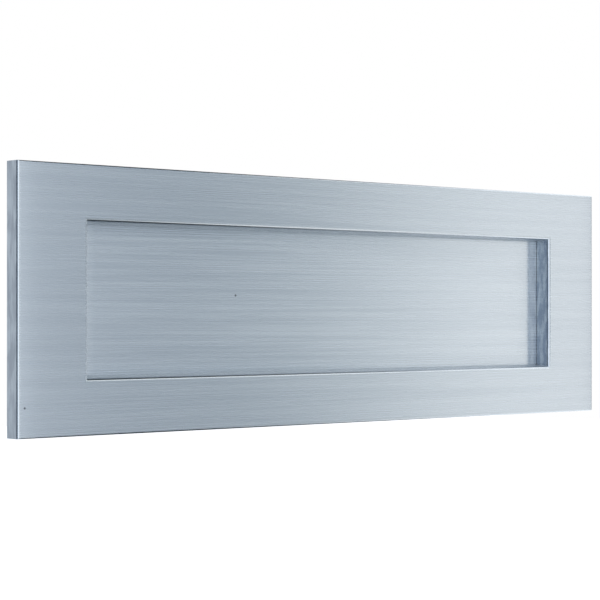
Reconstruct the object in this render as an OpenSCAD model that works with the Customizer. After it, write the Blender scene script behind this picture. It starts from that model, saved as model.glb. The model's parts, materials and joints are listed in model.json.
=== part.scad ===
// Letter plate: a cast front plate with a sprung flap that opens inwards.
//
// The origin is on the plane that seats against the door, midway between the two fixing
// studs. +X runs to the right as seen from outside, +Y goes into the door, +Z is up.
// Millimetres throughout.

/* [Front plate] */
// Width of the plate
plate_w = 254; // [250:1:300]
// Height of the plate
plate_h = 79; // [78:1:100]
// Thickness of the plate at its edge
plate_t = 5.4; // [5.2:0.1:6.5]
// Radius of the front edges along the top and the bottom
long_edge_r = 0.5; // [0.1:0.1:1]
// Radius of the front edges at the two ends
end_edge_r = 0.9; // [0.1:0.1:1]
// Thickness of the metal in front of the hollow back
web_t = 3.2; // [3:0.1:3.4]
// Width of the seating rim around the back
rim_w = 4; // [2.5:0.1:4.5]

/* [Letter slot] */
// Width of the slot just behind its rounded front edge
slot_w = 204.6; // [190:0.1:206]
// Height of the slot just behind its rounded front edge
slot_h = 45.4; // [38:0.1:47]
// Radius of the front edge round the slot
slot_edge_r = 1.2; // [0.2:0.1:1.4]
// Lean of each slot wall between the front edge and the back
slot_draft = 0.6; // [0.3:0.1:1.2]
// Width of the lip around the back of the slot
lip_w = 2; // [1.5:0.1:2.2]

/* [Flap] */
// Width of the flap
flap_w = 209; // [207.5:0.1:210]
// Thickness of the flap
flap_t = 3; // [2.5:0.1:3.1]
// Cover of the flap over the bottom of the slot
flap_cover = 5.8; // [5.6:0.1:7]

/* [Hinge] */
// Diameter of the hinge rod
rod_d = 4; // [3.5:0.1:4.2]
// Radial running clearance of the flap on the rod
rod_clearance = 0.05; // [0.02:0.01:0.08]
// Wire diameter of the springs
spring_wire = 1; // [0.8:0.1:1]
// Whole turns of each spring
spring_turns = 7; // [4:1:9]

/* [Fixings] */
// Distance between the fixing studs
stud_centres = 222; // [222:1:228]
// Diameter of the stud shank
stud_d = 5; // [4.9:0.1:6]
// Length of the studs behind the seating plane
stud_len = 19; // [18:1:80]
// Thickness of the door or gate panel that the nuts are set for
door_t = 10; // [8:1:12]

/* [Hidden] */

$fn = 64;
LEFT = -1;
RIGHT = 1;
eps = 1;               // how far a cutter runs past the surface it opens

satin_chrome = [0.73, 0.76, 0.80];
steel = [0.62, 0.63, 0.65];
spring_steel = [0.45, 0.46, 0.50];
brass = [0.80, 0.66, 0.36];
black_rubber = [0.10, 0.10, 0.11];

// Plate
floor_y = web_t - plate_t;             // floor of the hollow back
lip_y = -0.2;                          // back of the lip round the slot
slot_back_x = slot_w / 2 - slot_draft;
slot_back_z = slot_h / 2 - slot_draft;
boss_r = 5;
boss_y = -0.1;
thread_gap = 0.02;                     // radial gap between a thread and what it screws into

// Flap and hinge
flap_y = -0.1;                         // front face of the flap
knuckle_r = 4.3;
hinge_y = flap_y + knuckle_r;
hinge_z = slot_back_z + 5.9;
flap_top = hinge_z - 4;
flap_bottom = -slot_back_z - flap_cover;
flap_edge = 0.4;                       // chamfer round the back of the flap
rod_r = rod_d / 2;
knuckle_bore_r = rod_r + rod_clearance;
knuckle_out = flap_w / 2 - 1.6;        // outer end of an end knuckle
knuckle_in = knuckle_out - 7;
mid_knuckle_w = 12;
heel_h = 4.7;                          // the heel meets the stop pad when the flap is level
heel_w = 2.6;
stop_gap = 0.06;
stop_y = hinge_y - heel_h - stop_gap;

// Hinge brackets
lug_w = 4;
lug_out = knuckle_in - 0.4;
lug_in = lug_out - lug_w;
lug_r = 3.4;
base_l = 18;
base_t = 1.7;
base_top = floor_y + base_t;
screw_x = [lug_in - 11, lug_in - 4.5]; // inner and outer screw of a bracket
screw_r = 1.25;
screw_head_r = 2.3;
screw_len = 4.2;

// Springs, on the rod inboard of the brackets
coil_r = rod_r + spring_wire / 2 + 0.5;
coil_pitch = spring_wire * 1.12;
spring_x = 66;                         // inner end of each coil
rings_per_turn = 14;
wire_sides = 8;
fixed_tip = [floor_y + spring_wire / 2 - hinge_y, 4.2];
moving_tip = [flap_y + flap_t + spring_wire / 2 - hinge_y, -15];
leave_angle = 225;                     // where the moving leg leaves the coil
knee_z = -4.9;                         // height of the bend in the moving leg

// Rod clips
clip_t = 0.6;
clip_r = 3.3;
groove_r = rod_r - 0.4;
groove_w = 0.7;
groove_x = knuckle_out + 0.15;
rod_end = flap_w / 2 - 0.1;

// Buffers
buffer_r = 1.8;
buffer_x = 70;
buffer_z = -(slot_back_z + lip_w + buffer_r + 0.3);
buffer_sink = 0.7;                     // depth of the pocket that holds the buffer

// Studs, washers and nuts
stud_x = stud_centres / 2;
thread_r = stud_d / 2 - 0.26;          // pitch radius of the thread
stud_sink = 4;
shank_end = door_t - 2;
washer_r = 5;                          // small enough for the flap to swing past
washer_t = 1;
nut_h = 4;
nut_flats = 8;

// ---- Shared shapes -------------------------------------------------------------------

module block(lo, hi) translate(lo) cube(hi - lo);

// Cylinder or cone along +Y, from y0 to y1
module post(x, z, y0, y1, r1, r2) {
    translate([x, y0, z]) rotate([-90, 0, 0]) cylinder(h = y1 - y0, r1 = r1, r2 = r2);
}

// Cylinder on the hinge axis, from x0 to x1
module on_axis(x0, x1, r) {
    translate([x0, hinge_y, hinge_z]) rotate([0, 90, 0]) cylinder(h = x1 - x0, r = r);
}

module on_side(side) mirror([side == LEFT ? 1 : 0, 0, 0]) children();

// Prism along X of a profile given as [y, z], and along Z of a profile given as [x, y]
module prism_x(length) rotate([90, 0, 90]) linear_extrude(length, center = true) children();
module prism_z(length) linear_extrude(length, center = true) children();

function flip(points) = [for (p = points) [p[1], p[0]]];
function both_sides(half) = concat(half, [for (i = [len(half) - 1:-1:0]) [-half[i][0], half[i][1]]]);

// Half outline of the plate across its thickness, [distance from the middle, y]
function blank_edge(half, r) = concat(
    [[half, 0]],
    [for (a = [0:10:90]) [half - r * (1 - cos(a)), -plate_t + r * (1 - sin(a))]]
);

// Half outline of the slot cutter: a leaning wall, then the rounded front edge
function slot_edge(half) = concat(
    [[half - slot_draft * (1 + eps / plate_t), eps]],
    [for (a = [0:10:90]) [half + slot_edge_r * (1 - cos(a)), -plate_t + slot_edge_r * (1 - sin(a))]],
    [[half + slot_edge_r, -plate_t - eps]]
);

// ---- Front plate ---------------------------------------------------------------------

module plate_blank() {
    intersection() {
        prism_x(plate_w) polygon(flip(both_sides(blank_edge(plate_h / 2, long_edge_r))));
        prism_z(plate_h) polygon(both_sides(blank_edge(plate_w / 2, end_edge_r)));
    }
}

module slot_cutter() {
    intersection() {
        prism_x(plate_w) polygon(flip(both_sides(slot_edge(slot_h / 2))));
        prism_z(plate_h) polygon(both_sides(slot_edge(slot_w / 2)));
    }
}

module hollow_back() {
    hollow = [plate_w / 2 - rim_w, plate_h / 2 - rim_w];
    lip = [slot_back_x + lip_w, slot_back_z + lip_w];
    difference() {
        block([-hollow.x, floor_y, -hollow.y], [hollow.x, eps, hollow.y]);
        block([-lip.x, floor_y - eps, -lip.y], [lip.x, lip_y, lip.y]);
    }
}

module front_plate() {
    color(satin_chrome)
    difference() {
        union() {
            difference() {
                plate_blank();
                hollow_back();
            }
            for (side = [LEFT, RIGHT]) on_side(side) {
                post(stud_x, 0, floor_y - eps, boss_y, boss_r, boss_r);
                block([knuckle_in, floor_y - eps, hinge_z - 3.3], [knuckle_out, stop_y, hinge_z + 4.5]);
            }
        }
        slot_cutter();
        for (side = [LEFT, RIGHT]) on_side(side) {
            post(stud_x, 0, boss_y - stud_sink, eps, thread_r + thread_gap, thread_r + thread_gap);
            post(buffer_x, buffer_z, floor_y - buffer_sink, eps, buffer_r, buffer_r);
            for (x = screw_x) post(x, hinge_z, base_top - screw_len, eps, screw_r, screw_r);
        }
    }
}

// ---- Flap ----------------------------------------------------------------------------

// Half outline of the flap across its thickness, with a chamfer round the back
function flap_edge_line(half) = [
    [half, flap_y],
    [half, flap_y + flap_t - flap_edge],
    [half - flap_edge, flap_y + flap_t]
];

module flap_sheet() {
    middle = (flap_top + flap_bottom) / 2;
    translate([0, 0, middle]) intersection() {
        prism_x(flap_w) polygon(flip(both_sides(flap_edge_line(flap_top - middle))));
        prism_z(flap_w) polygon(both_sides(flap_edge_line(flap_w / 2)));
    }
}

module knuckle(x0, x1) {
    on_axis(x0, x1, knuckle_r);
    block([x0, flap_y, flap_top - 2], [x1, flap_y + flap_t - flap_edge, hinge_z]);
}

module flap() {
    color(satin_chrome)
    difference() {
        union() {
            flap_sheet();
            knuckle(-mid_knuckle_w / 2, mid_knuckle_w / 2);
            for (side = [LEFT, RIGHT]) on_side(side) {
                knuckle(knuckle_in, knuckle_out);
                block([knuckle_in, hinge_y, hinge_z], [knuckle_out, hinge_y + heel_w, hinge_z + heel_h]);
            }
        }
        on_axis(-flap_w / 2, flap_w / 2, knuckle_bore_r);
    }
}

// ---- Hinge ---------------------------------------------------------------------------

module hinge_rod() {
    color(steel)
    difference() {
        on_axis(-rod_end, rod_end, rod_r);
        for (side = [LEFT, RIGHT]) on_side(side) difference() {
            on_axis(groove_x, groove_x + groove_w, rod_r + eps);
            on_axis(groove_x - eps, groove_x + groove_w + eps, groove_r);
        }
    }
}

module hinge_bracket(side) {
    color(brass)
    on_side(side) difference() {
        union() {
            block([lug_out - base_l, floor_y, hinge_z - 3.3], [lug_out, base_top, hinge_z + 3.4]);
            block([lug_in, floor_y, hinge_z - 3.3], [lug_out, hinge_y, hinge_z + lug_r]);
            on_axis(lug_in, lug_out, lug_r);
        }
        on_axis(lug_in - eps, lug_out + eps, rod_r + 0.02);
        for (x = screw_x) {
            post(x, hinge_z, floor_y - eps, base_top + eps, screw_r + 0.15, screw_r + 0.15);
            post(x, hinge_z, base_top - screw_head_r + screw_r, base_top, screw_r, screw_head_r);
        }
    }
}

// Countersunk screw with a cross recess; number 0 is the inner one
module bracket_screw(side, number) {
    x = screw_x[number];
    recess = [2.4, 0.9, 0.5];
    color(steel)
    on_side(side) difference() {
        union() {
            post(x, hinge_z, base_top - screw_len, base_top, screw_r, screw_r);
            post(x, hinge_z, base_top - screw_head_r + screw_r, base_top, screw_r, screw_head_r);
        }
        translate([x, base_top, hinge_z]) for (turn = [45, 135])
            rotate([0, turn, 0]) cube([recess[0], 2 * recess[1], recess[2]], center = true);
    }
}

// Torsion spring. The path is worked out as [x, y, z] about the hinge axis: a straight leg
// that bears on the plate, the coil, and a bent leg that bears on the back of the flap.
fixed_reach = sqrt(fixed_tip * fixed_tip - coil_r * coil_r);
start_angle = atan2(fixed_tip[1], fixed_tip[0]) + atan2(fixed_reach, coil_r);
coil_angle = 360 * spring_turns + leave_angle - start_angle;
coil_rings = ceil(coil_angle / 360 * rings_per_turn);
coil_len = coil_pitch * coil_angle / 360;
leave = coil_r * [cos(leave_angle), sin(leave_angle)];
knee_reach = (leave[1] - knee_z) / -cos(leave_angle);
knee = leave + knee_reach * [-sin(leave_angle), cos(leave_angle)];

function coil_point(f) = let (a = start_angle + f * coil_angle)
    [spring_x + f * coil_len, coil_r * cos(a), coil_r * sin(a)];
function at_end(p) = [spring_x + coil_len, p[0], p[1]];
function unit(v) = v / norm(v);
function curve(a, b, c, f) = (1 - f) * (1 - f) * a + 2 * f * (1 - f) * b + f * f * c;

knee_in = knee + 1.2 * unit(leave - knee);
knee_out = knee + 1.2 * unit(moving_tip - knee);
spring_path = concat(
    [[spring_x, fixed_tip[0], fixed_tip[1]]],
    [for (i = [0:coil_rings]) coil_point(i / coil_rings)],
    [for (f = [0:0.25:1]) at_end(curve(knee_in, knee, knee_out, f))],
    [at_end(moving_tip)]
);

// Closed tube along a path that never runs along X
module tube(path, r, sides) {
    last = len(path) - 1;
    points = [for (i = [0:last])
        let (t = unit(path[min(i + 1, last)] - path[max(i - 1, 0)]),
             across = unit([1, 0, 0] - t[0] * t),
             up = cross(t, across))
        for (k = [0:sides - 1]) path[i] + r * (cos(360 * k / sides) * across + sin(360 * k / sides) * up)];
    walls = [for (i = [0:last - 1]) for (k = [0:sides - 1])
        let (n = (k + 1) % sides)
        [i * sides + k, (i + 1) * sides + k, (i + 1) * sides + n, i * sides + n]];
    caps = [[for (k = [0:sides - 1]) k], [for (k = [sides - 1:-1:0]) last * sides + k]];
    polyhedron(points, concat(walls, caps), convexity = 10);
}

module spring(side) {
    color(spring_steel)
    on_side(side) translate([0, hinge_y, hinge_z]) tube(spring_path, spring_wire / 2, wire_sides);
}

// Retaining clip in the groove of the rod, open towards the bottom
module rod_clip(side) {
    mouth = 1.25;
    ear_r = 0.55;
    clip_x = groove_x + (groove_w - clip_t) / 2;
    color(spring_steel)
    on_side(side) difference() {
        on_axis(clip_x, clip_x + clip_t, clip_r);
        on_axis(clip_x - eps, clip_x + clip_t + eps, groove_r);
        block([clip_x - eps, hinge_y - mouth, hinge_z - clip_r - eps],
              [clip_x + clip_t + eps, hinge_y + mouth, hinge_z]);
        for (turn = [-60, 60])
            translate([clip_x - eps, hinge_y, hinge_z]) rotate([turn, 0, 0])
                translate([0, 0, groove_r + ear_r / 2]) rotate([0, 90, 0])
                    cylinder(h = clip_t + 2 * eps, r = ear_r, $fn = 24);
    }
}

// Domed rubber buffer in its pocket in the hollow back; the flap closes against it
module flap_buffer(side) {
    base_y = floor_y - buffer_sink;
    top_y = flap_y - 0.02;
    dome = 0.5;
    color(black_rubber)
    on_side(side) {
        post(buffer_x, buffer_z, base_y, top_y - dome, buffer_r, buffer_r);
        post(buffer_x, buffer_z, top_y - dome, top_y, buffer_r, buffer_r - dome);
    }
}

// ---- Fixings -------------------------------------------------------------------------

module fixing_stud(side) {
    tip = 0.8;
    color(steel)
    on_side(side) {
        post(stud_x, 0, boss_y - stud_sink, boss_y, thread_r, thread_r);
        post(stud_x, 0, boss_y, shank_end, stud_d / 2, stud_d / 2);
        post(stud_x, 0, shank_end, stud_len - tip, thread_r, thread_r);
        post(stud_x, 0, stud_len - tip, stud_len, thread_r, thread_r - tip);
    }
}

module fixing_washer(side) {
    color(steel)
    on_side(side) difference() {
        post(stud_x, 0, door_t, door_t + washer_t, washer_r, washer_r);
        post(stud_x, 0, door_t - eps, door_t + washer_t + eps, stud_d / 2 + 0.15, stud_d / 2 + 0.15);
    }
}

// Hexagon nut with its corners turned off, and a lead-in to the thread, at both faces
module fixing_nut(side) {
    nut_y = door_t + washer_t;
    corner_r = nut_flats / 2 / cos(30);
    turned = 0.5;
    lead_in = 0.45;
    color(steel)
    on_side(side) difference() {
        intersection() {
            translate([stud_x, nut_y, 0]) rotate([-90, 0, 0]) cylinder(h = nut_h, r = corner_r, $fn = 6);
            union() {
                post(stud_x, 0, nut_y, nut_y + turned, corner_r - 2 * turned, corner_r);
                post(stud_x, 0, nut_y + turned, nut_y + nut_h - turned, corner_r, corner_r);
                post(stud_x, 0, nut_y + nut_h - turned, nut_y + nut_h, corner_r, corner_r - 2 * turned);
            }
        }
        post(stud_x, 0, nut_y - eps, nut_y + nut_h + eps, thread_r + thread_gap, thread_r + thread_gap);
        post(stud_x, 0, nut_y, nut_y + lead_in, thread_r + lead_in, thread_r);
        post(stud_x, 0, nut_y + nut_h - lead_in, nut_y + nut_h, thread_r, thread_r + lead_in);
    }
}

front_plate();
flap();
hinge_rod();
hinge_bracket(LEFT);  // hinge_bracket_left
hinge_bracket(RIGHT);  // hinge_bracket_right
bracket_screw(LEFT, 0);  // bracket_screw_left_inner
bracket_screw(LEFT, 1);  // bracket_screw_left_outer
bracket_screw(RIGHT, 0);  // bracket_screw_right_inner
bracket_screw(RIGHT, 1);  // bracket_screw_right_outer
spring(LEFT);  // spring_left
spring(RIGHT);  // spring_right
rod_clip(LEFT);  // rod_clip_left
rod_clip(RIGHT);  // rod_clip_right
flap_buffer(LEFT);  // flap_buffer_left
flap_buffer(RIGHT);  // flap_buffer_right
fixing_stud(LEFT);  // fixing_stud_left
fixing_stud(RIGHT);  // fixing_stud_right
fixing_washer(LEFT);  // fixing_washer_left
fixing_washer(RIGHT);  // fixing_washer_right
fixing_nut(LEFT);  // fixing_nut_left
fixing_nut(RIGHT);  // fixing_nut_right
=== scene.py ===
"""Looks of the letter plate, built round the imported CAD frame. Metres, in the frame's own axes:
+X to the right as seen from outside the door, +Y into the door, +Z up."""
import json
import math

import bmesh
import bpy
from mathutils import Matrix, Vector


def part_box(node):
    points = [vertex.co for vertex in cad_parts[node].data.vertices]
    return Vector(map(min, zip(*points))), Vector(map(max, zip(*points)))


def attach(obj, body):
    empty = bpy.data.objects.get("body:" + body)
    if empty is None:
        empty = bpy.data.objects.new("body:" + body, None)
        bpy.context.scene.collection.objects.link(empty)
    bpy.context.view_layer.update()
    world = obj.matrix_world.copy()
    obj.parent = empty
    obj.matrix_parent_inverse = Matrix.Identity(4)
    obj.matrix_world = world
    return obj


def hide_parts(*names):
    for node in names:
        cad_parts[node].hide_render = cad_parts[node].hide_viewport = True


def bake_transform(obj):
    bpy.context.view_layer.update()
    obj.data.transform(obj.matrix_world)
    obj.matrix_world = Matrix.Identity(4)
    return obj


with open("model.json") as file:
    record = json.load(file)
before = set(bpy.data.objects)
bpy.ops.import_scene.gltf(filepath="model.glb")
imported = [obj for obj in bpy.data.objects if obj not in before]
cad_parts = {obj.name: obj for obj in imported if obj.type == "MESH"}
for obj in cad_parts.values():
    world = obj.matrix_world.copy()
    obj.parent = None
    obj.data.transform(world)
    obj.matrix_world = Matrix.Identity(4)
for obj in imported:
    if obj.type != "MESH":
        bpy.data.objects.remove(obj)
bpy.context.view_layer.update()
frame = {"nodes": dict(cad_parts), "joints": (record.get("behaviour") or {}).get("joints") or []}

MM = 0.001
nodes = frame["nodes"]

# ---- Places and sizes -----------------------------------------------------------------------

plate_lo, plate_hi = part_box("front_plate")
flap_lo, flap_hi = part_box("flap")
stud_lo, stud_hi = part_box("fixing_stud_right")
stud_middle_x = (stud_lo.x + stud_hi.x) / 2
AXIS = Vector(frame["joints"][0]["pos_m"])
SIDES = {"left": -1, "right": 1}      # what x is times

# From the design, because the frame gives only the boxes
RIM = 4 * MM                          # width of the seating rim round the plate's hollow back
HOLLOW_FLOOR_Y = plate_lo.y + 3.2 * MM
SLOT_HALF = Vector((102.6 * MM, 0, 23.0 * MM))  # half the slot's width and height, about

# ---- Camera ---------------------------------------------------------------------------------

CAMERA_AT = (-0.4448, -0.4716, -0.0045)
CAMERA_YAW = math.radians(-42.40)     # turned right of straight at the plate
CAMERA_LENS = 118.76                  # mm
CAMERA_SENSOR = 36                    # mm across
CAMERA_SHIFT_Y = 0.025833             # of the picture's width
CAMERA_NEAREST = 0.01


def make_camera():
    data = bpy.data.cameras.new("camera")
    data.sensor_width = CAMERA_SENSOR
    data.lens = CAMERA_LENS
    data.shift_y = CAMERA_SHIFT_Y
    data.clip_start = CAMERA_NEAREST
    camera = bpy.data.objects.new("camera", data)
    camera.location = CAMERA_AT
    camera.rotation_euler = (math.radians(90), 0, CAMERA_YAW)
    bpy.context.scene.collection.objects.link(camera)
    bpy.context.scene.camera = camera


# ---- Node helpers ---------------------------------------------------------------------------

class Nodes:
    """Short calls for building one node tree."""

    def __init__(self, tree):
        self.tree = tree

    def add(self, kind, inputs=None, **settings):
        made = self.tree.nodes.new(kind)
        for key, value in settings.items():
            setattr(made, key, value)
        for key, value in (inputs or {}).items():
            self.set(made.inputs[key], value)
        return made

    def set(self, socket, value):
        if isinstance(value, bpy.types.NodeSocket):
            self.tree.links.new(value, socket)
        else:
            socket.default_value = value

    def math(self, operation, a, b=0.0):
        return self.add("ShaderNodeMath", {0: a, 1: b}, operation=operation).outputs[0]

    def vector(self, operation, a, b=(0, 0, 0), out=0):
        made = self.add("ShaderNodeVectorMath", {0: a, 1: b}, operation=operation)
        return made.outputs[out]

    def split(self, vector):
        """The x, y and z of a vector."""
        return self.add("ShaderNodeSeparateXYZ", {0: vector}).outputs

    def product(self, *factors):
        total = factors[0]
        for factor in factors[1:]:
            total = self.math("MULTIPLY", total, factor)
        return total

    def ramp(self, value, low, high, to_low=0.0, to_high=1.0, kind="SMOOTHSTEP"):
        """From to_low, where the value is low, to to_high, where it is high, and level beyond."""
        limits = {0: value, 1: low, 2: high, 3: to_low, 4: to_high}
        return self.add("ShaderNodeMapRange", limits, interpolation_type=kind).outputs[0]

    def band(self, value, rise, fall):
        """1 between two fades, each given as where it is 0 and where it is 1."""
        return self.product(self.ramp(value, *rise), self.ramp(value, *fall))

    def blend(self, factor, a, b):
        made = self.add("ShaderNodeMix", {0: factor, 2: a, 3: b}, data_type="FLOAT")
        return made.outputs[0]

    def blend_vector(self, factor, a, b):
        made = self.add("ShaderNodeMix", {0: factor, 4: a, 5: b}, data_type="VECTOR")
        return made.outputs[1]

    def mix(self, factor, a, b, kind="MIX"):
        made = self.add("ShaderNodeMix", {0: factor, 6: a, 7: b}, data_type="RGBA", blend_type=kind)
        return made.outputs[2]

    def noise(self, place, cell, detail=2.0, roughness=0.5):
        """Noise with cells of this size in millimetres along x, y and z."""
        cells = self.vector("DIVIDE", place, tuple(size * MM for size in cell))
        settings = {"Vector": cells, "Scale": 1.0, "Detail": detail, "Roughness": roughness}
        return self.add("ShaderNodeTexNoise", settings).outputs["Fac"]

    def bump(self, height, strength, distance, normal=None):
        settings = {"Strength": strength, "Distance": distance, "Height": height}
        made = self.add("ShaderNodeBump", settings)
        if normal:
            self.set(made.inputs["Normal"], normal)
        return made.outputs[0]


def new_material(name):
    material = bpy.data.materials.new(name)
    material.use_nodes = True
    material.node_tree.nodes.clear()
    n = Nodes(material.node_tree)
    shader = n.add("ShaderNodeBsdfPrincipled")
    output = n.add("ShaderNodeOutputMaterial", {"Surface": shader.outputs[0]})
    n.surface = output.inputs["Surface"]
    return material, n, shader


def rgb(r, g, b):
    return (r, g, b, 1.0)


def give(obj, material):
    obj.data.materials.clear()
    obj.data.materials.append(material)


# Spans of a noise's values, from nearly all of them to the middle few, which draw harder marks
NOISE_ALL = (0.28, 0.72)
NOISE_MOST = (0.30, 0.70)
NOISE_MIDDLE = (0.35, 0.65)
NOISE_FEW = (0.40, 0.60)


# ---- Satin chrome ---------------------------------------------------------------------------

# Sizes of the brushing marks, in millimetres along x, y and z
FACE_SCRATCH = (60, 0.26, 0.26)
FACE_STREAK = (150, 2.4, 2.4)
END_SCRATCH = (0.4, 0.4, 12)
END_STREAK = (1.4, 1.4, 7)
STREAK_SHARE = 0.3                    # of the tone, and the rest is the scratches'

# Roughness of the clear shine, at the two extremes of the marks
FACE_ROUGHNESS = (0.24, 0.29)
END_ROUGHNESS = (0.30, 0.42)
SLOT_END_ROUGHNESS = (0.13, 0.19)
BURNISHED_ROUGHNESS = 0.16
HAZE_ADDS = 0.38                      # how much rougher the haze is than the clear shine

# Part of the shine that is a broad haze
FACE_HAZE = 0.55
DULL_HAZE = 0.75                      # where the buffing wheel couldn't reach
CLEAR_HAZE = 0.05                     # on burnished edges and the slot's ends
DULL_FADE = 4 * MM

SHINE_SPREAD = 0.85                   # how far the brushing draws out the clear shine
HAZE_SPREAD = 0.5

# The largest part of a surface's normal: above FLAT the surface is flat, and under ROUNDED it is
# well into the rounding of an edge
FLAT = 0.995
ROUNDED = 0.97
END_FACING = 0.7                      # above this much of the normal along x, it is an end
SLOT_END_REACH = 2 * MM               # how far outside SLOT_HALF the slot's ends are still found

# Painted shade on the end faces: a darker tint laid in mottled patches, at most the share below
END_MOTTLED_SHADE = rgb(0.45, 0.49, 0.55)
# Painted shade, darker and bluer, on the slot's end walls deep in the recess
SLOT_END_PAINTED_SHADE = rgb(0.28, 0.34, 0.44)
PAINTED_SHADE_SHARE = 0.6
PIT_COLOUR = rgb(0.12, 0.13, 0.15)
PIT_FLOOR = 0.4                       # of its radius

STREAK_ON_END = 3.0                   # how much higher the streaks stand than the scratches
SCRATCH_BUMP = 0.10
SCRATCH_HEIGHT = 0.03 * MM
ROLL_LENGTH = 3 * MM                  # how far in from its ends the face is rolled off
ROLL_DEPTH = 0.12 * MM

CAST_LUMP = (1.1, 1.1, 1.1)           # mm
CAST_DARK = rgb(0.40, 0.41, 0.42)
CAST_LIGHT = rgb(0.53, 0.54, 0.55)
CAST_ROUGHNESS = (0.42, 0.56)
CAST_BUMP = 0.5
CAST_HEIGHT = 0.12 * MM


def satin_chrome(name, dark, light, half_width, cast_zone=None, pits=(), dull_from=None):
    """Chrome plate over brushed brass: fine scratches lengthways, upright ones on the ends.
    The buffing rolled the face off a little towards its ends, half_width from the middle.
    cast_zone takes the node tree and the place, and says where the casting was left rough.
    pits are the places and radii of small holes in the plating.
    dull_from is how far out from the middle the buffing wheel reached, if not to the ends."""
    material, n, shader = new_material(name)
    haze = n.add("ShaderNodeBsdfPrincipled")
    for lobe, spread in ((shader, SHINE_SPREAD), (haze, HAZE_SPREAD)):
        lobe.inputs["Metallic"].default_value = 1.0
        lobe.inputs["Anisotropic"].default_value = spread
    both = n.add("ShaderNodeMixShader", {1: shader.outputs[0], 2: haze.outputs[0]})
    n.set(n.surface, both.outputs[0])

    # Where the point lies, and which way it faces
    coords = n.add("ShaderNodeTexCoord")
    place = coords.outputs["Object"]
    x = n.split(n.vector("ABSOLUTE", place))[0]
    facing_x, facing_y, facing_z = n.split(n.vector("ABSOLUTE", coords.outputs["Normal"]))
    flatness = n.math("MAXIMUM", facing_x, n.math("MAXIMUM", facing_y, facing_z))
    burnished = n.ramp(flatness, FLAT, ROUNDED)
    on_end = n.math("GREATER_THAN", facing_x, END_FACING)
    in_slot = n.product(on_end, n.math("LESS_THAN", x, SLOT_HALF.x + SLOT_END_REACH))

    # The shine spreads along the tangent: across the marks, but up and down in the slot's ends
    normal = n.add("ShaderNodeNewGeometry").outputs["Normal"]
    on_face = n.vector("CROSS_PRODUCT", normal, (1, 0, 0))
    on_slot_end = n.vector("CROSS_PRODUCT", normal, (0, 1, 0))
    on_outer_end = n.vector("CROSS_PRODUCT", normal, (0, 0, 1))
    tangent = n.blend_vector(on_end, on_face, on_outer_end)
    tangent = n.blend_vector(in_slot, tangent, on_slot_end)

    face_scratch = n.noise(place, FACE_SCRATCH, detail=2)
    face_streak = n.noise(place, FACE_STREAK, detail=1)
    end_scratch = n.noise(place, END_SCRATCH, detail=3)
    end_streak = n.noise(place, END_STREAK, detail=3, roughness=0.65)
    scratch = n.blend(on_end, face_scratch, end_scratch)
    streak = n.blend(on_end, face_streak, end_streak)

    tone = n.blend(STREAK_SHARE, scratch, streak)
    colour = n.mix(n.ramp(tone, *NOISE_ALL), dark, light)
    # Painted shade on every end face, laid on in mottled patches along the streaks
    painted_shade = n.ramp(streak, *NOISE_MIDDLE, 0.0, PAINTED_SHADE_SHARE)
    colour = n.mix(n.product(on_end, painted_shade), colour, END_MOTTLED_SHADE)
    # Painted shade on the slot's end walls inside the recess, in patches along the streaks
    painted_shade = n.ramp(streak, *NOISE_FEW, 0.0, PAINTED_SHADE_SHARE)
    colour = n.mix(n.product(in_slot, painted_shade), colour, SLOT_END_PAINTED_SHADE)

    face_roughness = n.ramp(scratch, *NOISE_MOST, *FACE_ROUGHNESS)
    end_roughness = n.ramp(streak, *NOISE_MOST, *END_ROUGHNESS)
    slot_end_roughness = n.ramp(streak, *NOISE_MOST, *SLOT_END_ROUGHNESS)
    roughness = n.blend(on_end, face_roughness, end_roughness)
    roughness = n.blend(in_slot, roughness, slot_end_roughness)
    roughness = n.blend(burnished, roughness, BURNISHED_ROUGHNESS)

    if dull_from:
        share = n.ramp(x, dull_from, dull_from + DULL_FADE, FACE_HAZE, DULL_HAZE)
    else:
        share = n.blend(in_slot, FACE_HAZE, CLEAR_HAZE)
    n.set(both.inputs[0], n.blend(burnished, share, CLEAR_HAZE))

    height = n.math("ADD", scratch, n.product(on_end, streak, STREAK_ON_END))
    bump = n.bump(height, SCRATCH_BUMP, SCRATCH_HEIGHT)
    inboard = n.math("DIVIDE", n.math("SUBTRACT", half_width, x), ROLL_LENGTH)
    rolled = n.product(n.math("EXPONENT", n.product(inboard, -1.0)), -ROLL_DEPTH)
    bump = n.bump(rolled, 1.0, 1.0, bump)

    for pit, radius in pits:
        away = n.vector("DISTANCE", place, pit, out=1)
        hole = n.ramp(away, PIT_FLOOR * radius, radius, 1.0, 0.0)
        colour = n.mix(hole, colour, PIT_COLOUR)

    if cast_zone:
        cast = cast_zone(n, place)
        lumps = n.noise(place, CAST_LUMP, detail=4, roughness=0.6)
        cast_colour = n.mix(n.ramp(lumps, *NOISE_MIDDLE), CAST_DARK, CAST_LIGHT)
        cast_roughness = n.ramp(lumps, *NOISE_MOST, *CAST_ROUGHNESS)
        colour = n.mix(cast, colour, cast_colour)
        roughness = n.blend(cast, roughness, cast_roughness)
        bump = n.blend_vector(cast, bump, n.bump(lumps, CAST_BUMP, CAST_HEIGHT))

    for lobe in (shader, haze):
        n.set(lobe.inputs["Base Color"], colour)
        n.set(lobe.inputs["Tangent"], tangent)
        n.set(lobe.inputs["Normal"], bump)
    n.set(shader.inputs["Roughness"], roughness)
    n.set(haze.inputs["Roughness"], n.math("ADD", roughness, HAZE_ADDS))
    return material


# How near the cast skin comes to the four things that bound it
CAST_PAST_RIM = 0.1 * MM
CAST_OFF_SLOT = 0.4 * MM
CAST_PAST_FLOOR = 0.2 * MM
CAST_OFF_SEAT = 0.25 * MM


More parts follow.
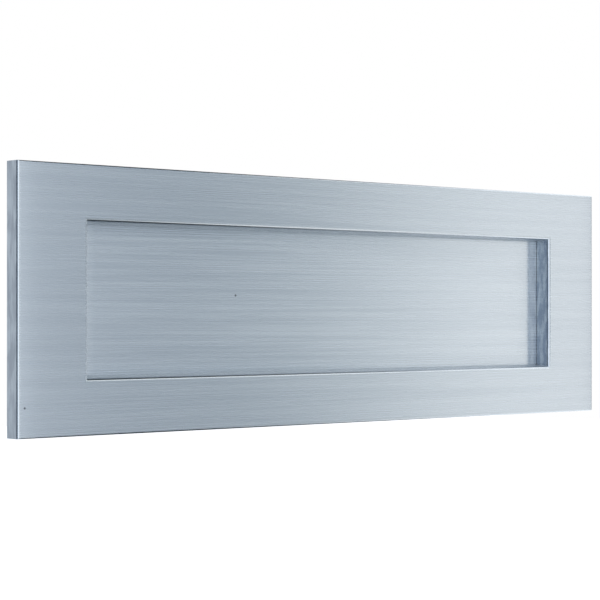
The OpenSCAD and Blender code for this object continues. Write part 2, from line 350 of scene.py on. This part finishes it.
def hollow_back(n, place):
    """Where the plate's hollow back keeps its cast skin: inside the rim, and outside the slot."""
    x, _, z = n.split(n.vector("ABSOLUTE", place))
    depth = n.split(place)[1]
    in_rim = n.product(n.math("LESS_THAN", x, plate_hi.x - RIM + CAST_PAST_RIM),
                       n.math("LESS_THAN", z, plate_hi.z - RIM + CAST_PAST_RIM))
    at_slot = n.product(n.math("LESS_THAN", x, SLOT_HALF.x + CAST_OFF_SLOT),
                        n.math("LESS_THAN", z, SLOT_HALF.z + CAST_OFF_SLOT))
    behind = n.product(n.math("GREATER_THAN", depth, HOLLOW_FLOOR_Y - CAST_PAST_FLOOR),
                       n.math("LESS_THAN", depth, -CAST_OFF_SEAT))
    return n.product(in_rim, n.math("SUBTRACT", 1.0, at_slot), behind)


# ---- Other materials ------------------------------------------------------------------------

METAL_CLOUD = (3, 3, 3)               # mm
CLOUD_SHARE = 0.4                     # of the tone, and the rest is the tool marks'
METAL_ROUGHER = 0.12                  # from a metal's smoothest to its roughest places
METAL_HEIGHT = 0.03 * MM

# Bare and plated metals: dark and light tones, roughness, the size of the tool marks in
# millimetres along x, y and z, and how strongly they stand out
METALS = {
    "ground_steel": (rgb(0.42, 0.43, 0.45), rgb(0.60, 0.61, 0.63), 0.22, (0.1, 4, 4), 0.03),
    "spring_wire": (rgb(0.20, 0.20, 0.22), rgb(0.36, 0.36, 0.38), 0.28, (0.3, 0.9, 0.9), 0.15),
    "clip_steel": (rgb(0.10, 0.10, 0.11), rgb(0.20, 0.20, 0.21), 0.36, (0.3, 0.3, 0.3), 0.15),
    "screw_zinc": (rgb(0.50, 0.52, 0.54), rgb(0.62, 0.64, 0.66), 0.22, (0.3, 0.3, 0.3), 0.06),
    "fixing_zinc": (rgb(0.54, 0.57, 0.60), rgb(0.68, 0.72, 0.75), 0.22, (0.25, 0.25, 0.25), 0.08),
    "bracket_brass": (rgb(0.60, 0.42, 0.17), rgb(0.76, 0.58, 0.28), 0.28, (5, 0.25, 0.25), 0.25),
}


def plain_metal(name):
    dark, light, roughness, mark, strength = METALS[name]
    material, n, shader = new_material(name)
    shader.inputs["Metallic"].default_value = 1.0
    place = n.add("ShaderNodeTexCoord").outputs["Object"]
    grain = n.noise(place, mark, detail=3)
    cloud = n.noise(place, METAL_CLOUD, detail=3)
    tone = n.blend(CLOUD_SHARE, grain, cloud)
    spread = n.ramp(tone, *NOISE_MOST, roughness, roughness + METAL_ROUGHER)
    n.set(shader.inputs["Base Color"], n.mix(n.ramp(tone, *NOISE_MIDDLE), dark, light))
    n.set(shader.inputs["Roughness"], spread)
    n.set(shader.inputs["Normal"], n.bump(grain, strength, METAL_HEIGHT))
    return material


RUBBER_GRAIN = (0.3, 0.3, 0.3)        # mm
RUBBER_DARK = rgb(0.012, 0.012, 0.013)
RUBBER_LIGHT = rgb(0.03, 0.03, 0.031)
RUBBER_ROUGHNESS = (0.55, 0.7)
RUBBER_BUMP = 0.3
RUBBER_HEIGHT = 0.05 * MM


def rubber(name):
    material, n, shader = new_material(name)
    place = n.add("ShaderNodeTexCoord").outputs["Object"]
    grain = n.noise(place, RUBBER_GRAIN, detail=3)
    n.set(shader.inputs["Base Color"], n.mix(grain, RUBBER_DARK, RUBBER_LIGHT))
    n.set(shader.inputs["Roughness"], n.ramp(grain, *NOISE_MOST, *RUBBER_ROUGHNESS))
    n.set(shader.inputs["Normal"], n.bump(grain, RUBBER_BUMP, RUBBER_HEIGHT))
    return material


# ---- Studio ---------------------------------------------------------------------------------

# Brightness and tint of the studio round the horizon, by degrees to the right of straight in front
# of the plate. It is light in front. To the right come a dark gap, a bright strip and a dim wall,
# and to the left a brighter wall, a dark one, and a light corner behind the door.
ROUND_THE_HORIZON = (
    (-180, (0.88, 0.90, 0.93)),
    (-158, (1.10, 1.15, 1.20)),
    (-138, (1.08, 1.15, 1.22)),
    (-114, (0.07, 0.09, 0.12)),
    (-70, (0.07, 0.10, 0.14)),
    (-57, (1.13, 1.27, 1.41)),
    (-38, (1.39, 1.46, 1.52)),
    (-14, (0.88, 0.90, 0.92)),
    (10, (0.88, 0.90, 0.92)),
    (25, (1.05, 1.10, 1.16)),
    (33, (1.05, 1.12, 1.20)),
    (37, (0.11, 0.18, 0.26)),
    (42, (0.12, 0.20, 0.26)),
    (46, (0.90, 0.97, 0.98)),
    (48, (2.04, 2.01, 1.93)),
    (54, (1.28, 1.27, 1.26)),
    (62, (0.40, 0.43, 0.47)),
    (130, (0.42, 0.46, 0.50)),
    (180, (0.88, 0.90, 0.93)),
)

# Where the panels lie, by the z and the x of the direction towards them, each pair of numbers
# running from just outside a panel to well inside it
BLACK_ABOVE_Z = ((0.45, 0.58), (0.90, 0.80))
BLACK_BELOW_Z = ((-0.22, -0.36), (-0.90, -0.80))
BLACK_X = ((0.45, 0.55), (0.76, 0.62))
BLACK_TINT = rgb(0.04, 0.05, 0.06)
LIGHT_Z = (0.20, 0.40)                # above the horizon, and as far below it
LIGHT_X = (0.70, 0.76)
LIGHT_TINT = rgb(1.38, 1.40, 1.42)

STEEP_Z = (0.55, 0.75)                # where the studio dims overhead, and the same underfoot
STEEP_DIM = 0.35
WHITE = rgb(1.0, 1.0, 1.0)


def make_world():
    """A soft studio: the tints above, dimmer overhead and underfoot, with a black panel above and
    one below on the right, and a light panel beyond each, against a white backdrop."""
    world = bpy.data.worlds.new("studio")
    bpy.context.scene.world = world
    world.use_nodes = True
    world.node_tree.nodes.clear()
    n = Nodes(world.node_tree)
    direction = n.add("ShaderNodeTexCoord").outputs["Generated"]
    x, y, z = n.split(direction)
    height = n.math("ABSOLUTE", z)
    azimuth = n.math("ARCTAN2", x, n.product(y, -1.0))
    turn = n.ramp(azimuth, -math.pi, math.pi, kind="LINEAR")
    ring = n.add("ShaderNodeValToRGB", {0: turn})
    stops = ring.color_ramp.elements
    stops.remove(stops[1])
    for i, (degrees, tint) in enumerate(ROUND_THE_HORIZON):
        at = (degrees + 180) / 360
        stop = stops[0] if i == 0 else stops.new(at)
        stop.position = at
        stop.color = rgb(*tint)
    colour = ring.outputs[0]
    steep = n.ramp(height, *STEEP_Z, 0.0, STEEP_DIM)
    high_or_low = n.math("ADD", n.band(z, *BLACK_ABOVE_Z), n.band(z, *BLACK_BELOW_Z))
    black = n.product(high_or_low, n.band(x, *BLACK_X))
    dimmed = n.mix(1.0, colour, BLACK_TINT, "MULTIPLY")
    colour = n.mix(n.math("MAXIMUM", steep, black), colour, dimmed)
    light = n.product(n.ramp(height, *LIGHT_Z), n.ramp(x, *LIGHT_X))
    colour = n.mix(light, colour, LIGHT_TINT)
    studio = n.add("ShaderNodeBackground", {"Color": colour, "Strength": 1.0})
    backdrop = n.add("ShaderNodeBackground", {"Color": WHITE, "Strength": 1.0})
    seen = n.add("ShaderNodeLightPath").outputs["Is Camera Ray"]
    both = n.add("ShaderNodeMixShader", {0: seen, 1: studio.outputs[0], 2: backdrop.outputs[0]})
    n.add("ShaderNodeOutputWorld", {"Surface": both.outputs[0]})


FLOOR_HALF = 15.0
FLOOR_BELOW = 1.0                     # under the plate's lower edge
FLOOR_COLOUR = rgb(0.9, 0.9, 0.9)
FLOOR_ROUGHNESS = 0.9
FLOOR_GLOW = 0.6


def make_floor():
    """A pale floor, a metre below the plate, faintly lit from within and out of the reflections."""
    z = plate_lo.z - FLOOR_BELOW
    corners = [(x * FLOOR_HALF, y * FLOOR_HALF, z) for x, y in ((-1, -1), (1, -1), (1, 1), (-1, 1))]
    mesh = bpy.data.meshes.new("floor")
    mesh.from_pydata(corners, [], [(0, 1, 2, 3)])
    floor = bpy.data.objects.new("floor", mesh)
    bpy.context.scene.collection.objects.link(floor)
    material, _, shader = new_material("floor_pale")
    shader.inputs["Base Color"].default_value = FLOOR_COLOUR
    shader.inputs["Roughness"].default_value = FLOOR_ROUGHNESS
    shader.inputs["Emission Color"].default_value = WHITE
    shader.inputs["Emission Strength"].default_value = FLOOR_GLOW
    give(floor, material)
    floor.visible_glossy = False


# ---- Making and finishing shapes ------------------------------------------------------------

WELD_WITHIN = 0.001 * MM
LEVEL_WITHIN = math.radians(0.5)      # faces that are one flat face
ROUND_FROM = math.radians(40)         # an edge this sharp is rounded
ROUND_STEPS = 2
SMOOTH_UNDER = math.radians(35)       # an edge less sharp than this is shaded smooth


def soften(node, width):
    """Joins the mesh's split corners, rounds its sharp edges and evens out its shading."""
    node.modifiers.new("weld", "WELD").merge_threshold = WELD_WITHIN
    flat = node.modifiers.new("flat", "DECIMATE")
    flat.decimate_type = "DISSOLVE"
    flat.angle_limit = LEVEL_WITHIN
    bevel = node.modifiers.new("bevel", "BEVEL")
    bevel.width = width
    bevel.segments = ROUND_STEPS
    bevel.limit_method = "ANGLE"
    bevel.angle_limit = ROUND_FROM
    bevel.use_clamp_overlap = False
    node.modifiers.new("clean", "WELD").merge_threshold = WELD_WITHIN
    node.modifiers.new("normals", "WEIGHTED_NORMAL")
    node.modifiers.new("triangles", "TRIANGULATE").keep_custom_normals = True


def make_piece(name, bm, material, body, node):
    """Turns a bmesh into a smooth piece that rides on a body and stands for a CAD node."""
    bmesh.ops.recalc_face_normals(bm, faces=bm.faces)
    mesh = bpy.data.meshes.new(name)
    bm.to_mesh(mesh)
    bm.free()
    mesh.shade_smooth()
    mesh.set_sharp_from_angle(angle=SMOOTH_UNDER)
    piece = bpy.data.objects.new(name, mesh)
    bpy.context.scene.collection.objects.link(piece)
    give(piece, material)
    if body:
        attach(piece, body)
    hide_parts(node)
    return piece


def close_ends(bm):
    bmesh.ops.holes_fill(bm, edges=[e for e in bm.edges if e.is_boundary], sides=0)


def bridge(bm, one, other):
    """Four-sided faces between two closed rings of as many points."""
    for k in range(len(one)):
        after = (k + 1) % len(one)
        bm.faces.new((one[k], one[after], other[after], other[k]))


# ---- Torsion springs ------------------------------------------------------------------------

WIRE_R = 0.5 * MM
WIRE_END = 0.15 * MM                  # rounding of the cut ends
COIL_R = 3.0 * MM
COIL_PITCH = 1.12 * MM
COIL_TURNS = 7
LEAVE_ANGLE = math.radians(225)       # where the moving leg leaves the coil
FIXED_TIP = Vector((0, -5.9 * MM, 4.2 * MM))
MOVING_TIP = Vector((0, -0.8 * MM, -15 * MM))
KNEE_Z = -4.9 * MM
KNEE_BEND = 1.2 * MM
KNEE_STEPS = 8
RINGS_PER_TURN = 30
WIRE_SIDES = 14


def spring_path():
    """Centre line of the right spring about the hinge axis, from the fixed tip, and its length
    in x."""
    reach = math.sqrt(FIXED_TIP.length_squared - COIL_R ** 2)
    start = math.atan2(FIXED_TIP.z, FIXED_TIP.y) + math.atan2(reach, COIL_R)
    sweep = COIL_TURNS * math.tau + LEAVE_ANGLE - start
    length = COIL_PITCH * sweep / math.tau
    rings = math.ceil(sweep / math.tau * RINGS_PER_TURN)
    coil = []
    for i in range(rings + 1):
        angle = start + sweep * i / rings
        x = length * i / rings
        coil.append(Vector((x, COIL_R * math.cos(angle), COIL_R * math.sin(angle))))
    along = Vector((0, -math.sin(LEAVE_ANGLE), math.cos(LEAVE_ANGLE)))
    knee = coil[-1] + along * (KNEE_Z - coil[-1].z) / along.z
    tip = MOVING_TIP + Vector((length, 0, 0))
    before = knee - KNEE_BEND * along
    after = knee + KNEE_BEND * (tip - knee).normalized()
    bend = []
    for i in range(KNEE_STEPS + 1):
        f = i / KNEE_STEPS
        bend.append((1 - f) ** 2 * before + 2 * f * (1 - f) * knee + f ** 2 * after)
    return [FIXED_TIP] + coil + bend + [tip], length


def sweep_wire(bm, path, side):
    """A round wire along the path, with rounded cut ends; side mirrors it across x = 0."""
    first = (path[0] - path[1]).normalized()
    last = (path[-1] - path[-2]).normalized()
    stations = [(path[0], WIRE_R - WIRE_END), (path[0] - WIRE_END * first, WIRE_R)]
    stations += [(point, WIRE_R) for point in path[1:-1]]
    stations += [(path[-1] - WIRE_END * last, WIRE_R), (path[-1], WIRE_R - WIRE_END)]
    rings = []
    for i, (point, radius) in enumerate(stations):
        ahead = stations[min(i + 1, len(stations) - 1)][0]
        behind = stations[max(i - 1, 0)][0]
        along = (ahead - behind).normalized()
        across = (Vector((1, 0, 0)) - along.x * along).normalized()
        up = along.cross(across)
        ring = []
        for k in range(WIRE_SIDES):
            angle = math.tau * k / WIRE_SIDES
            spot = point + radius * (math.cos(angle) * across + math.sin(angle) * up)
            ring.append(bm.verts.new((side * spot.x, spot.y, spot.z)))
        rings.append(ring)
    for one, other in zip(rings, rings[1:]):
        for k in range(WIRE_SIDES):
            after = (k + 1) % WIRE_SIDES
            bm.faces.new((one[k], other[k], other[after], one[after]))
    close_ends(bm)


def make_spring(side_name, side, material):
    path, length = spring_path()
    inner_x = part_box("spring_right")[0].x + WIRE_R
    path = [point + Vector((inner_x, AXIS.y, AXIS.z)) for point in path]
    bm = bmesh.new()
    sweep_wire(bm, path, side)
    node = "spring_" + side_name
    spring = make_piece("torsion_spring_" + side_name, bm, material, None, node)
    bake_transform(spring)


# ---- Fixing studs ---------------------------------------------------------------------------

COLUMNS = 48                          # flats round a turned piece
THREAD_PITCH = 0.8 * MM
THREAD_START = 8 * MM
CREST_R = 2.45 * MM
ROOT_R = 2.0 * MM
TIP_R = 1.75 * MM
# One turn of the thread: the share of the pitch, and the radius there
THREAD_FORM = ((0.0, CREST_R), (0.125, CREST_R), (0.4375, ROOT_R), (0.6875, ROOT_R))
RUN_OUT_SLOPE = 0.6                   # how steeply the thread's root leaves the shank
# The plain part of the stud: y and the radius there, in mm
SHANK = ((-3.5, 2.2), (-0.3, 2.2), (-0.3, 2.35), (-0.15, 2.5), (7.75, 2.5))


def stud_columns(x):
    """The stud's outline at each angle round it: the plain shank, then the turns of the thread."""
    turns = math.ceil((stud_hi.y - THREAD_START) / THREAD_PITCH) + 1
    for column in range(COLUMNS):
        share = column / COLUMNS
        outline = [(y * MM, radius * MM) for y, radius in SHANK]
        for turn in range(-1, turns):
            for phase, radius in THREAD_FORM:
                y = THREAD_START + (turn + phase + share - 1) * THREAD_PITCH
                y = min(max(y, THREAD_START), stud_hi.y)
                run_out = CREST_R - (y - THREAD_START) * RUN_OUT_SLOPE
                outline.append((y, min(max(radius, run_out), TIP_R + stud_hi.y - y)))
        angle = math.tau * share
        yield [(x + r * math.cos(angle), y, -r * math.sin(angle)) for y, r in outline]


def make_stud(side_name, side, material):
    """A stud with a real thread: the last column joins the first one turn further along."""
    bm = bmesh.new()
    columns = []
    for spots in stud_columns(side * stud_middle_x):
        columns.append([bm.verts.new(spot) for spot in spots])
    rows = len(columns[0])
    for column in range(COLUMNS):
        one, other = columns[column], columns[(column + 1) % COLUMNS]
        for row in range(rows - 1):
            threaded = row >= len(SHANK) - 1
            ahead = len(THREAD_FORM) if column == COLUMNS - 1 and threaded else 0
            near, far = min(row + ahead, rows - 1), min(row + 1 + ahead, rows - 1)
            if row == len(SHANK) - 1:   # the last ring of the shank is closed on itself
                near = row
            if near != far:
                bm.faces.new((one[row], one[row + 1], other[far], other[near]))
            else:
                bm.faces.new((one[row], one[row + 1], other[near]))
    bmesh.ops.remove_doubles(bm, verts=bm.verts, dist=2 * WELD_WITHIN)
    bmesh.ops.dissolve_degenerate(bm, edges=bm.edges, dist=WELD_WITHIN)
    close_ends(bm)
    node = "fixing_stud_" + side_name
    make_piece("threaded_stud_" + side_name, bm, material, "plate", node)


# ---- Nuts -----------------------------------------------------------------------------------

BORE_R = 2.26 * MM
LEAD_IN = 0.45 * MM
NUT_FLATS = 8 * MM
HALF_FLAT = math.radians(30)          # half the angle that one flat takes
FACE_R = 3.8 * MM                     # where the flat face gives way to the turned corners
CORNER_SLOPE = math.tan(math.radians(30))
CORNER_ROUND = 0.12 * MM
NUT_COLUMNS = 3 * COLUMNS


def nut_radius(angle):
    """Distance from the axis to the outside of the hexagon, with its corners a little rounded."""
    off_flat = (angle + HALF_FLAT) % (2 * HALF_FLAT) - HALF_FLAT
    corner = NUT_FLATS / 2 / math.cos(HALF_FLAT) - CORNER_ROUND
    return min(NUT_FLATS / 2 / math.cos(off_flat), corner)


def make_nut(side_name, material):
    """A hexagon nut with its corners turned off and a lead-in to the thread at both faces."""
    node = "fixing_nut_" + side_name
    lo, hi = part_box(node)
    middle = (lo + hi) / 2
    columns = []
    bm = bmesh.new()
    for k in range(NUT_COLUMNS):
        angle = math.tau * k / NUT_COLUMNS
        outer = nut_radius(angle)
        turned = lo.y + (outer - FACE_R) * CORNER_SLOPE
        bore = [(lo.y + LEAD_IN, BORE_R), (lo.y, BORE_R + LEAD_IN)]
        lower = bore + [(lo.y, FACE_R), (turned, outer)]
        outline = lower + [(lo.y + hi.y - y, r) for y, r in reversed(lower)]
        across, up = math.sin(angle), math.cos(angle)
        spots = [(middle.x + r * across, y, middle.z + r * up) for y, r in outline]
        columns.append([bm.verts.new(spot) for spot in spots])
    for one, other in zip(columns, columns[1:] + columns[:1]):
        bridge(bm, one, other)
    make_piece("hexagon_nut_" + side_name, bm, material, "plate", node)


# ---- Buffers --------------------------------------------------------------------------------

BUFFER_DOME = 0.5 * MM
DOME_ANGLES = range(0, 90, 10)        # degrees up the dome's rounded edge


def make_buffer(side_name, material):
    """A rubber stop with a rounded head, in its pocket."""
    node = "flap_buffer_" + side_name
    lo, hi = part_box(node)
    radius = (hi.x - lo.x) / 2
    middle = (lo + hi) / 2
    outline = [(lo.y, radius)]
    for degrees in DOME_ANGLES:
        rise = math.radians(degrees)
        outline.append((hi.y - BUFFER_DOME * (1 - math.sin(rise)), radius * math.cos(rise)))
    bm = bmesh.new()
    rings = []
    for y, r in outline:
        ring = []
        for k in range(COLUMNS):
            angle = math.tau * k / COLUMNS
            across, up = r * math.cos(angle), r * math.sin(angle)
            ring.append(bm.verts.new((middle.x + across, y, middle.z + up)))
        rings.append(ring)
    for one, other in zip(rings, rings[1:]):
        bridge(bm, one, other)
    bm.faces.new(rings[0])
    top = bm.verts.new((middle.x, hi.y, middle.z))
    for k in range(COLUMNS):
        bm.faces.new((rings[-1][k], rings[-1][(k + 1) % COLUMNS], top))
    make_piece("rubber_buffer_" + side_name, bm, material, "plate", node)


# ---- Putting it together --------------------------------------------------------------------

# Pits in the plating: place and radius
PLATE_PITS = [((-124.6 * MM, plate_lo.y, -30.8 * MM), 0.45 * MM)]
FLAP_PITS = [((-41.6 * MM, flap_lo.y, 1.8 * MM), 0.5 * MM)]
FLAP_BUFFED = SLOT_HALF.x - 7 * MM    # how far out the wheel reached inside the slot

# How far the edges of the big pieces are rounded
PLATE_EDGE = 0.08 * MM
FLAP_EDGE = 0.15 * MM

make_camera()
make_world()
make_floor()

plate_chrome = satin_chrome("plate_satin_chrome", rgb(0.595, 0.645, 0.695), rgb(0.68, 0.73, 0.775),
                            plate_hi.x, cast_zone=hollow_back, pits=PLATE_PITS)
flap_chrome = satin_chrome("flap_satin_chrome", rgb(0.615, 0.665, 0.715), rgb(0.725, 0.775, 0.82),
                           flap_hi.x, pits=FLAP_PITS, dull_from=FLAP_BUFFED)
metals = {name: plain_metal(name) for name in METALS}
black_rubber = rubber("black_rubber")

give(nodes["front_plate"], plate_chrome)
give(nodes["flap"], flap_chrome)
soften(nodes["front_plate"], PLATE_EDGE)
soften(nodes["flap"], FLAP_EDGE)

# The carried-over small parts: the metal, and how far their edges are rounded, in mm
SMALL_PARTS = {
    "hinge_rod": ("ground_steel", 0.15),
    "hinge_bracket": ("bracket_brass", 0.3),
    "bracket_screw": ("screw_zinc", 0.06),
    "rod_clip": ("clip_steel", 0.08),
    "fixing_washer": ("fixing_zinc", 0.12),
}
for name, node in nodes.items():
    for start, (metal, rounding) in SMALL_PARTS.items():
        if name.startswith(start):
            give(node, metals[metal])
            soften(node, rounding * MM)

for side_name, side in SIDES.items():
    make_spring(side_name, side, metals["spring_wire"])
    make_stud(side_name, side, metals["fixing_zinc"])
    make_nut(side_name, metals["fixing_zinc"])
    make_buffer(side_name, black_rubber)

bpy.context.scene.view_settings.view_transform = "Standard"
